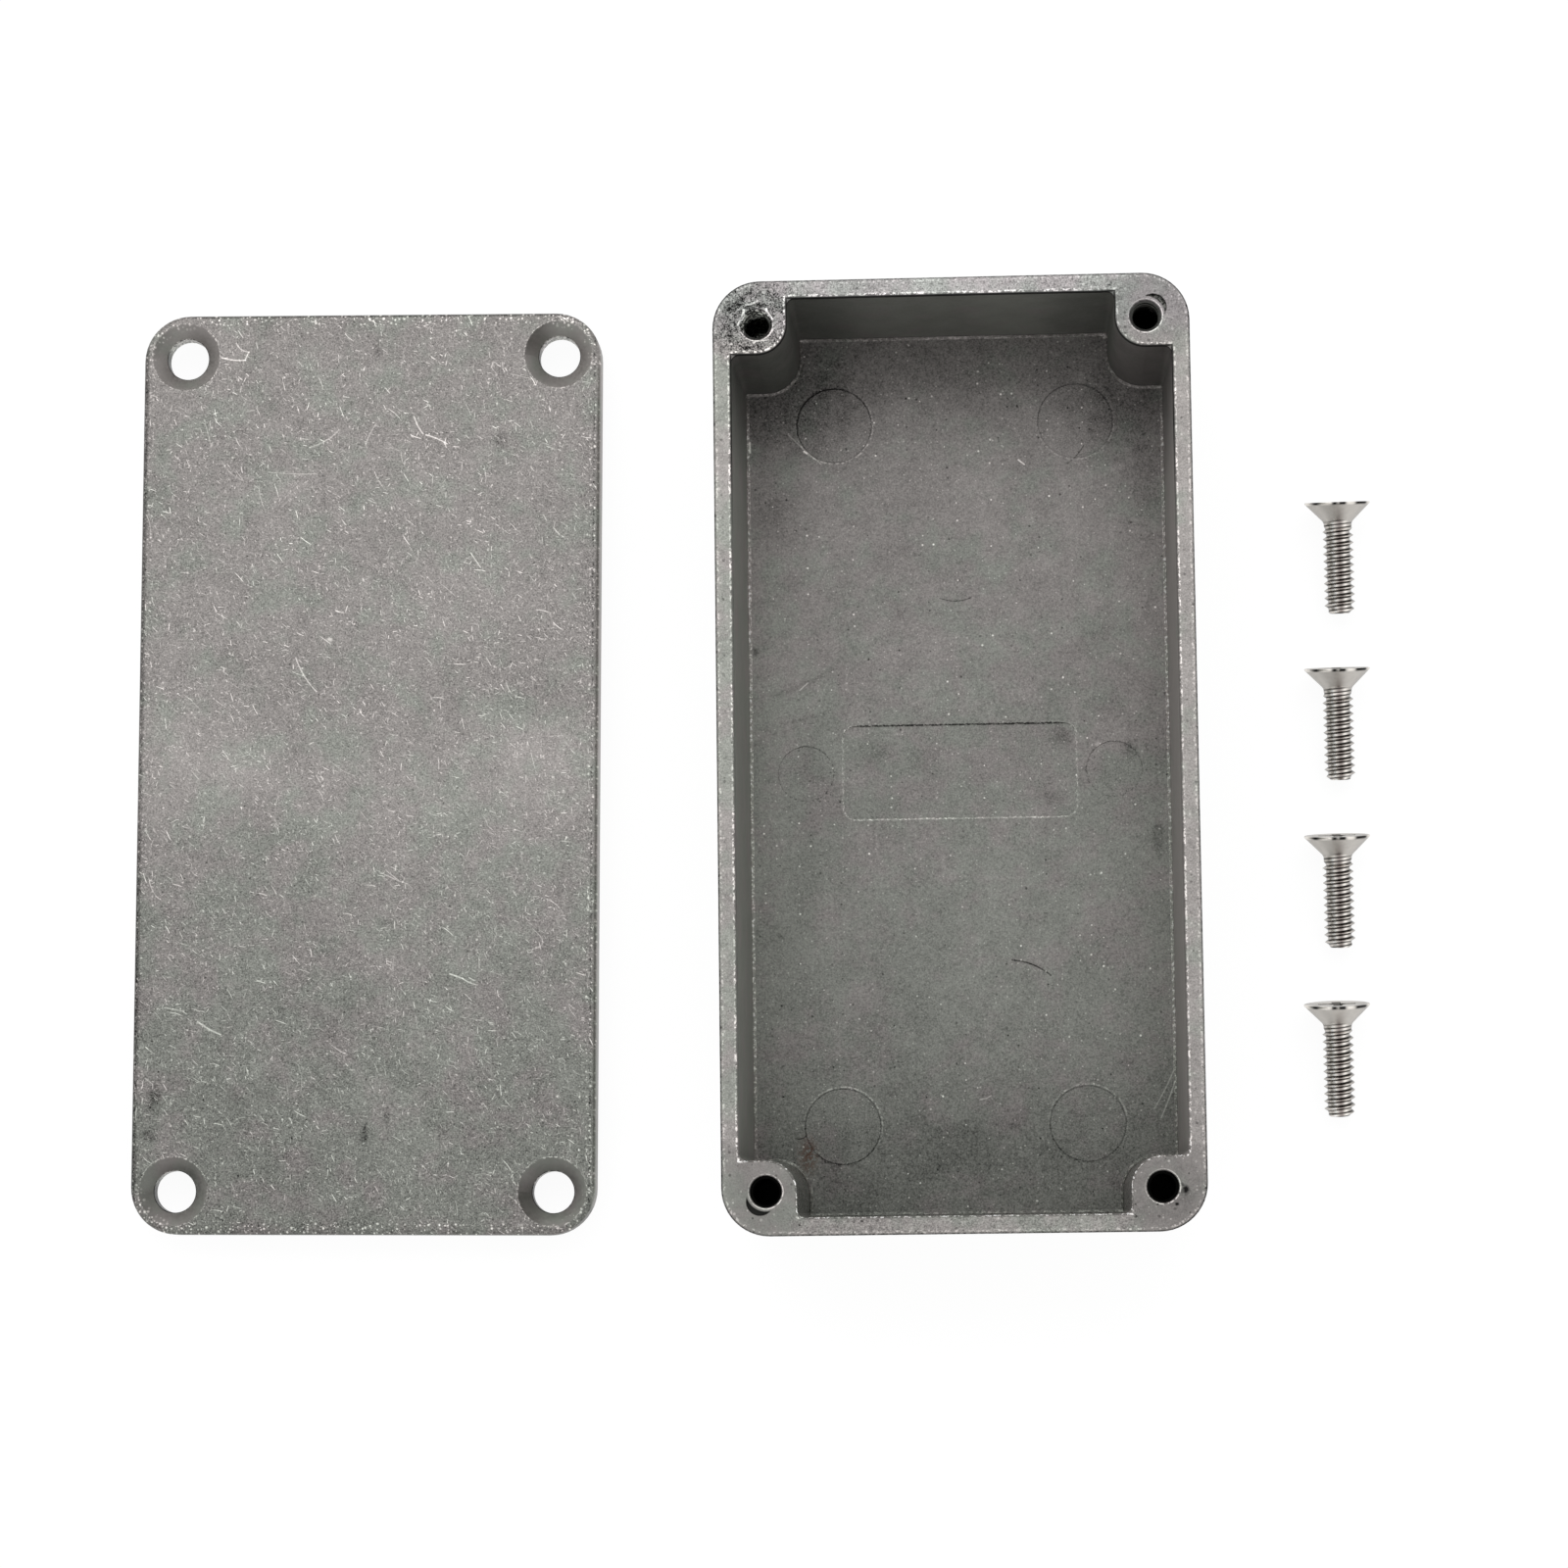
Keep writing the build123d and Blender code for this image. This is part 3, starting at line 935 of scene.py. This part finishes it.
def recess_outline(angles, reach, half_width, core):
    """Distance from the axis to the outline of a cross with a round core, at each angle."""
    cosine = np.maximum(np.abs(np.cos(angles)), 1e-6)
    sine = np.maximum(np.abs(np.sin(angles)), 1e-6)
    level = np.minimum(reach / cosine, half_width / sine)
    upright = np.minimum(half_width / cosine, reach / sine)
    return np.maximum(np.maximum(level, upright), core)


def screw_head_rows(angles, head, neck):
    """Rings of the recess, the flat head, the cone and the flare into the neck, each as
    radius, distance along the axis and painted shade."""
    around = np.ones_like(angles)
    floor_line = recess_outline(angles, 1.1, 0.33, 0.62)
    mouth_line = recess_outline(angles, SLOT_REACH, SLOT_HALF, 0.98)
    rows = [
        (floor_line * 0.5, 1.62, 1.0),
        (floor_line, 1.3, 1.0),
        ((floor_line + mouth_line) / 2, 0.68, 1.0),
        (mouth_line, 0.05, 0.8),
        (mouth_line + 0.05, 0.0, 0.0),
        (mouth_line * 0.7 + (head - 0.05) * 0.3, 0.0, 0.0),
        (mouth_line * 0.3 + (head - 0.05) * 0.7, 0.0, 0.0),
    ]
    edge = ((0.06, 0.0), (0.015, 0.02), (0.0, 0.07), (0.0, 0.13), (0.02, 0.17))
    rows += [(around * (head - inward), along, 0.0) for inward, along in edge]
    tip = head + HEAD_EDGE
    rows += [(around * (tip - along), along, 0.0) for along in np.linspace(0.2, CONE_END, 12)]
    start_radius = tip - CONE_END
    for share in np.linspace(0.125, 1.0, 8):
        radius = start_radius + (neck - start_radius) * (1.0 - (1.0 - share) ** 2)
        rows.append((around * radius, CONE_END + share * 0.55, 0.0))
    return rows


def bell(value, middle, width):
    """1 at the middle, falling as exp(-(distance / width) squared)."""
    return np.exp(-(((value - middle) / width) ** 2))


def thread_profile(phase):
    """How high the thread stands, and how far the point is from the middle of the root, both
    from 0 to 1: narrow crests with straight flanks, and a flat root between them."""
    away = (0.5 - np.abs(phase - 0.5)) * 2.0
    return np.clip(away * 1.55 - 0.5, 0.0, 1.0), away


def ramp(value, low, high):
    """0 below low and 1 above high, straight between."""
    return np.clip((value - low) / (high - low), 0.0, 1.0)


def screw_painted_shading(shape, angles, radii, along, recess, turn):
    """Painted light and shade of the plating at each point: brightness, share of the painted brown
    reflection and softness. Painted dark lines run half way up the flanks of the thread, painted
    glints run down both sides of the back, and the edge of the head has painted reflections in dark
    dashes."""
    across = np.cos(angles)[None, :]
    above = ramp(np.sin(angles), -0.1, 0.2)[None, :]
    s = along[:, None]
    head = shape.head_radius / MM
    phase = np.mod(s * MM / shape.thread_pitch - angles[None, :] / (2 * math.pi) + turn, 1.0)
    _, away = thread_profile(phase)
    # Painted reflection: a browner, darker band down the middle of the back.
    middle = bell(across, 0.05, 0.2) * above
    thread = ramp(s + 0.3 * bell(across, 0.0, 0.4) * above, 2.0, 2.35)
    # Painted light and shade on the thread: dark lines half way up the flanks, glints in two columns
    # down the back, shade towards the edges and underneath, and light on the left side.
    lines = 1.0 - ramp(np.abs(2.0 * away - 1.0), 0.2, 0.62)
    glint = (bell(across, -0.42, 0.18) * 1.5 + bell(across, 0.46, 0.18) * 1.1) * above
    side = ramp(np.abs(across), 0.72, 0.95) * above + (1.0 - above)
    left = bell(across, -0.7, 0.22) * above
    threaded = (0.96 + 0.9 * glint - 0.25 * side + 0.45 * left) * (1.0 - lines * (0.9 + 0.04 * glint))
    # Painted reflection darkens the cone and neck down the middle of the back and just left of it, and
    # painted shade darkens their edges.
    plain = 0.94 - 0.2 * middle * ramp(s, 0.3, 1.8) - 0.14 * bell(across, -0.45, 0.2) * above
    plain = plain - 0.2 * ramp(np.abs(across), 0.7, 0.98)
    bright = plain + (threaded - plain) * thread
    # Share of the painted brown reflection: down the middle of the back, and a little all over the
    # thread.
    brown = middle * (0.3 * ramp(s, 0.2, 1.6) + 0.3 * thread) + 0.12 * thread

    # Painted reflections on the edge of the head: bright, with dark dashes.
    band = (1.0 - ramp(s, 0.2, 0.34)) * (radii > head - 0.5) * above
    place = radii * across
    dashes = ((-2.45, 0.5, 0.65), (-0.5, 0.28, 1.0), (0.35, 0.36, 1.2), (2.4, 0.5, 1.8))
    dash = sum(bell(place, centre, half) * depth for centre, half, depth in dashes)
    bright = bright + (1.6 - 1.57 * np.clip(dash * 1.6, 0.0, 1.0) - bright) * band
    # Painted shade in the cross recess.
    bright = bright * (1.0 - 0.92 * recess[:, None])
    satin = 1.0 - thread + 1.7 * thread * bell(across, -0.5, 0.35) * above
    return np.stack([bright, np.broadcast_to(brown, bright.shape), satin], axis=-1)


def screw_surface(shape, turn):
    """A screw as rings round its axis. Along the thread the radius is the root's plus the
    thread's depth times the profile's height at distance / pitch - angle / full turn, and the
    depth fades at both ends."""
    angles = screw_angles()
    names = ("head_radius", "neck_radius", "thread_radius", "root_radius", "thread_pitch", "length")
    head, neck, crest, root, pitch, length = (getattr(shape, name) / MM for name in names)
    rows = screw_head_rows(angles, head, neck)
    body = np.arange(2.45, length - 0.04, 0.035)
    rise = np.clip((body - 2.62) / 0.55, 0.0, 1.0)
    fall = np.clip((length + 0.05 - body) / 0.75, 0.0, 1.0)
    core = neck + (root - neck) * np.clip((body - 2.55) / 0.6, 0.0, 1.0)
    core = core - np.clip((body - (length - 0.55)) / 0.55, 0.0, 1.0) ** 1.5 * 0.25
    phase = np.mod(body[:, None] / pitch - angles[None, :] / (2 * math.pi) + turn, 1.0)
    wave, _ = thread_profile(phase)
    amount = (crest - root) * np.minimum(rise, fall ** 0.8)
    radii = core[:, None] + amount[:, None] * wave
    end_radii = radii[-1] * 0.9
    radii = np.vstack([np.array([row[0] for row in rows]), radii, end_radii, end_radii * 0.5])
    along = np.concatenate([[row[1] for row in rows], body, [length, length]])
    recess = np.concatenate([[row[2] for row in rows], np.zeros(len(body) + 2)])
    return angles, radii, along, screw_painted_shading(shape, angles, radii, along, recess, turn)


def build_screw(shape, number, material):
    """One screw laid on its head's edge and its thread's end, as the CAD screw lies."""
    head = shape.head_radius / MM
    length = shape.length / MM
    tilt = math.atan((head - shape.thread_radius / MM) / (length - HEAD_EDGE - POINT_CHAMFER))
    x, y = (start + step * number for start, step in zip(SCREW_START, SCREW_STEP))
    centre = np.array([x, y, HEAD_EDGE * math.sin(tilt) + head * math.cos(tilt)])
    across = np.array([math.cos(SCREW_LEAN), math.sin(SCREW_LEAN), 0.0])
    level = np.array([math.sin(SCREW_LEAN), -math.cos(SCREW_LEAN), 0.0])
    axis = level * math.cos(tilt) + np.array([0.0, 0.0, -math.sin(tilt)])
    upright = np.cross(axis, across)
    angles, radii, along, finish = screw_surface(shape, THREAD_STEP * number)
    outward = np.cos(angles)[:, None] * across + np.sin(angles)[:, None] * upright
    rings = centre + radii[..., None] * outward + along[:, None, None] * axis
    name = f"screw_{number + 1}_threaded"
    recess_pole, point_pole = (centre + axis * far for far in (RECESS_DEPTH, length))
    mesh = mesh_from_skins(name, [skin(rings * MM, recess_pole * MM, point_pole * MM)])
    # The finish attribute holds the plating's painted light and shade; at the recess's pole it is
    # painted dark.
    layer = mesh.attributes.new("finish", "FLOAT_VECTOR", "POINT")
    values = np.vstack([finish.reshape(-1, 3), [(0.05, 0.0, 0.0), (0.7, 0.0, 0.0)]])
    layer.data.foreach_set("vector", values.astype(np.float32).ravel())
    piece = new_piece(name, mesh, material)
    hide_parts(f"screw_{number + 1}")


def colour_property(name, description, default):
    return FloatVectorProperty(
        name=name, description=description, subtype="COLOR", default=default, min=0.0, max=1.0
    )


def length_property(name, description, default, precision=5, **limits):
    return FloatProperty(
        name=name, description=description, unit="LENGTH", default=default, precision=precision, **limits
    )


class CastingFinish(bpy.types.PropertyGroup):
    warm_grey: colour_property(
        "Warm Grey", "Colour of the metal where it is warmer", (0.246, 0.2315, 0.223)
    )
    cool_grey: colour_property(
        "Cool Grey", "Colour of the metal where it is cooler", (0.2285, 0.2345, 0.2145)
    )
    roughness: FloatProperty(
        name="Roughness", description="How soft the casting's reflections are", subtype="FACTOR",
        default=0.5, min=0.0, max=1.0,
    )
    grain_size: length_property(
        "Grain Size", "Width of the finest grain of the cast skin", 0.00035, min=0.00005, max=0.005
    )
    scratch_width: length_property(
        "Scratch Width", "Width of a tumbling scratch on the lid", 0.00013, min=0.00002, max=0.001
    )


class ScrewShape(bpy.types.PropertyGroup):
    nickel: colour_property("Nickel", "Colour of the screws' plating", (0.56, 0.535, 0.5))
    # The colour of the painted brown reflection along the screws' backs.
    back_reflection_tint: colour_property(
        "Back Reflection Tint", "Browner colour of the plating along the screws' backs", (0.24, 0.19, 0.178)
    )
    head_radius: length_property("Head Radius", "Radius of the flat head", 0.0035)
    neck_radius: length_property("Neck Radius", "Radius of the plain neck under the cone", 0.0015)
    thread_radius: length_property("Thread Radius", "Radius at the crests of the thread", 0.00165)
    root_radius: length_property("Root Radius", "Radius at the roots of the thread", 0.00126)
    thread_pitch: length_property("Thread Pitch", "Distance from one crest to the next", 0.000794, 6)
    length: length_property("Length", "Length from the flat of the head to the point", 0.012)


class StudioSettings(bpy.types.PropertyGroup):
    focal_length: FloatProperty(
        name="Focal Length", description="Focal length of the camera's lens", unit="CAMERA",
        default=108.4, min=1.0,
    )
    ambient: FloatProperty(
        name="Ambient", description="Brightness of the room round the object",
        default=0.65, min=0.0, max=2.0,
    )
    lamp_power: FloatProperty(
        name="Lamp Power", description="Power of the soft lamp over the far end", unit="POWER",
        default=3.5, min=0.0,
    )


def dress(node, material):
    """Gives one CAD node its finish."""
    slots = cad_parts[node].material_slots
    if not slots:
        raise RuntimeError(f"{node} has no material slot")
    for slot in slots:
        slot.material = material


class DIECAST_OT_base(bpy.types.Operator):
    """Finish the base casting and cut the threads in its holes"""

    bl_idname = "diecast.base"
    bl_label = "Base Casting"

    def execute(self, context):
        material = base_material(context.scene.casting_finish)
        dress("enclosure_base", material)
        places = [(x, y) for x in (-HOLE_X, HOLE_X) for y in (-HOLE_Y, HOLE_Y)]
        mesh = mesh_from_skins("hole_threads", [bore_thread(x, y) for x, y in places])
        new_piece("hole_threads", mesh, material)
        return {"FINISHED"}


class DIECAST_OT_lid(bpy.types.Operator):
    """Finish the lid casting"""

    bl_idname = "diecast.lid"
    bl_label = "Lid Casting"

    def execute(self, context):
        dress("lid", lid_material(context.scene.casting_finish))
        return {"FINISHED"}


class DIECAST_OT_screws(bpy.types.Operator):
    """Make the four threaded screws"""

    bl_idname = "diecast.screws"
    bl_label = "Screws"

    def execute(self, context):
        shape = context.scene.screw_shape
        material = screw_material(shape)
        for number in range(4):
            build_screw(shape, number, material)
        return {"FINISHED"}


def background_share(graph):
    """1 for the rays that should see a white background: camera, glossy and transmission."""
    path = graph.make("LightPath")
    names = ("Is Camera Ray", "Is Glossy Ray", "Is Transmission Ray")
    camera, glossy, through = (graph.get(path, name) for name in names)
    return camera.max(glossy).max(through)


def studio_floor():
    """A pale floor, nearly white to the camera but for the object's soft shadow."""
    mesh = bpy.data.meshes.new("studio_floor")
    sides = ((-1, -1), (1, -1), (1, 1), (-1, 1))
    mesh.from_pydata([(x * FLOOR_HALF, y * FLOOR_HALF, 0.0) for x, y in sides], [], [(0, 1, 2, 3)])
    floor = new_object("studio_floor", mesh)
    material = bpy.data.materials.new("studio_floor_white")
    graph = empty_graph(material)
    seen = background_share(graph)
    share = seen.inverse() * (FLOOR_GREY - FLOOR_SEEN_GREY) + FLOOR_SEEN_GREY
    grey = graph.join(share, share, share)
    diffuse = graph.get(graph.make("BsdfDiffuse", {"Color": grey}))
    glow = graph.get(graph.make("Emission", {"Color": WHITE, "Strength": seen * FLOOR_GLOW}))
    graph.make("OutputMaterial", [graph.get(graph.make("AddShader", [diffuse, glow]))])
    mesh.materials.append(material)


def soft_lamp(name, power, size, place, target):
    """A rectangular lamp at place that points at target."""
    light = bpy.data.lights.new(name, "AREA")
    light.shape = "RECTANGLE"
    light.size, light.size_y = size
    light.energy = power
    lamp = new_object(name, light)
    lamp.location = place
    lamp.rotation_euler = (Vector(place) - Vector(target)).to_track_quat("Z", "Y").to_euler()


class DIECAST_OT_studio(bpy.types.Operator):
    """Set up the floor, the lamp, the room and the camera"""

    bl_idname = "diecast.studio"
    bl_label = "Studio"

    def execute(self, context):
        settings = context.scene.studio_settings
        studio_floor()
        soft_lamp("lamp_far_end", settings.lamp_power, LAMP_SIZE, LAMP_PLACE, LAMP_TARGET)
        world = bpy.data.worlds.new("studio_room")
        context.scene.world = world
        graph = empty_graph(world)
        seen = background_share(graph)
        strength = seen * (1.0 - settings.ambient) + settings.ambient
        room = graph.get(graph.make("Background", {"Color": WHITE, "Strength": strength}))
        graph.make("OutputWorld", [room])

        lens = bpy.data.cameras.new("camera")
        lens.lens = settings.focal_length
        lens.sensor_width = SENSOR_WIDTH
        lens.clip_start = 0.01
        camera = new_object("camera", lens)
        camera.location = CAMERA_PLACE
        camera.rotation_euler = [math.radians(angle) for angle in CAMERA_TURN]
        context.scene.camera = camera
        context.scene.view_settings.view_transform = "Standard"
        return {"FINISHED"}


OPERATORS = (DIECAST_OT_base, DIECAST_OT_lid, DIECAST_OT_screws, DIECAST_OT_studio)


class DIECAST_PT_panel(bpy.types.Panel):
    bl_label = "Die Cast Box"
    bl_idname = "DIECAST_PT_panel"
    bl_space_type = "VIEW_3D"
    bl_region_type = "UI"
    bl_category = "Die Cast Box"

    def draw(self, context):
        for operator in OPERATORS:
            self.layout.operator(operator.bl_idname)
        scene = context.scene
        for group in (scene.casting_finish, scene.screw_shape, scene.studio_settings):
            box = self.layout.box()
            for name in group.__annotations__:
                box.prop(group, name)


CLASSES = (CastingFinish, ScrewShape, StudioSettings, *OPERATORS, DIECAST_PT_panel)


def register():
    for cls in CLASSES:
        bpy.utils.register_class(cls)
    bpy.types.Scene.casting_finish = PointerProperty(type=CastingFinish)
    bpy.types.Scene.screw_shape = PointerProperty(type=ScrewShape)
    bpy.types.Scene.studio_settings = PointerProperty(type=StudioSettings)


def unregister():
    del bpy.types.Scene.studio_settings
    del bpy.types.Scene.screw_shape
    del bpy.types.Scene.casting_finish
    for cls in reversed(CLASSES):
        bpy.utils.unregister_class(cls)


def main():
    register()
    bpy.ops.diecast.base()
    bpy.ops.diecast.lid()
    bpy.ops.diecast.screws()
    bpy.ops.diecast.studio()


if __name__ == "__main__":
    main()
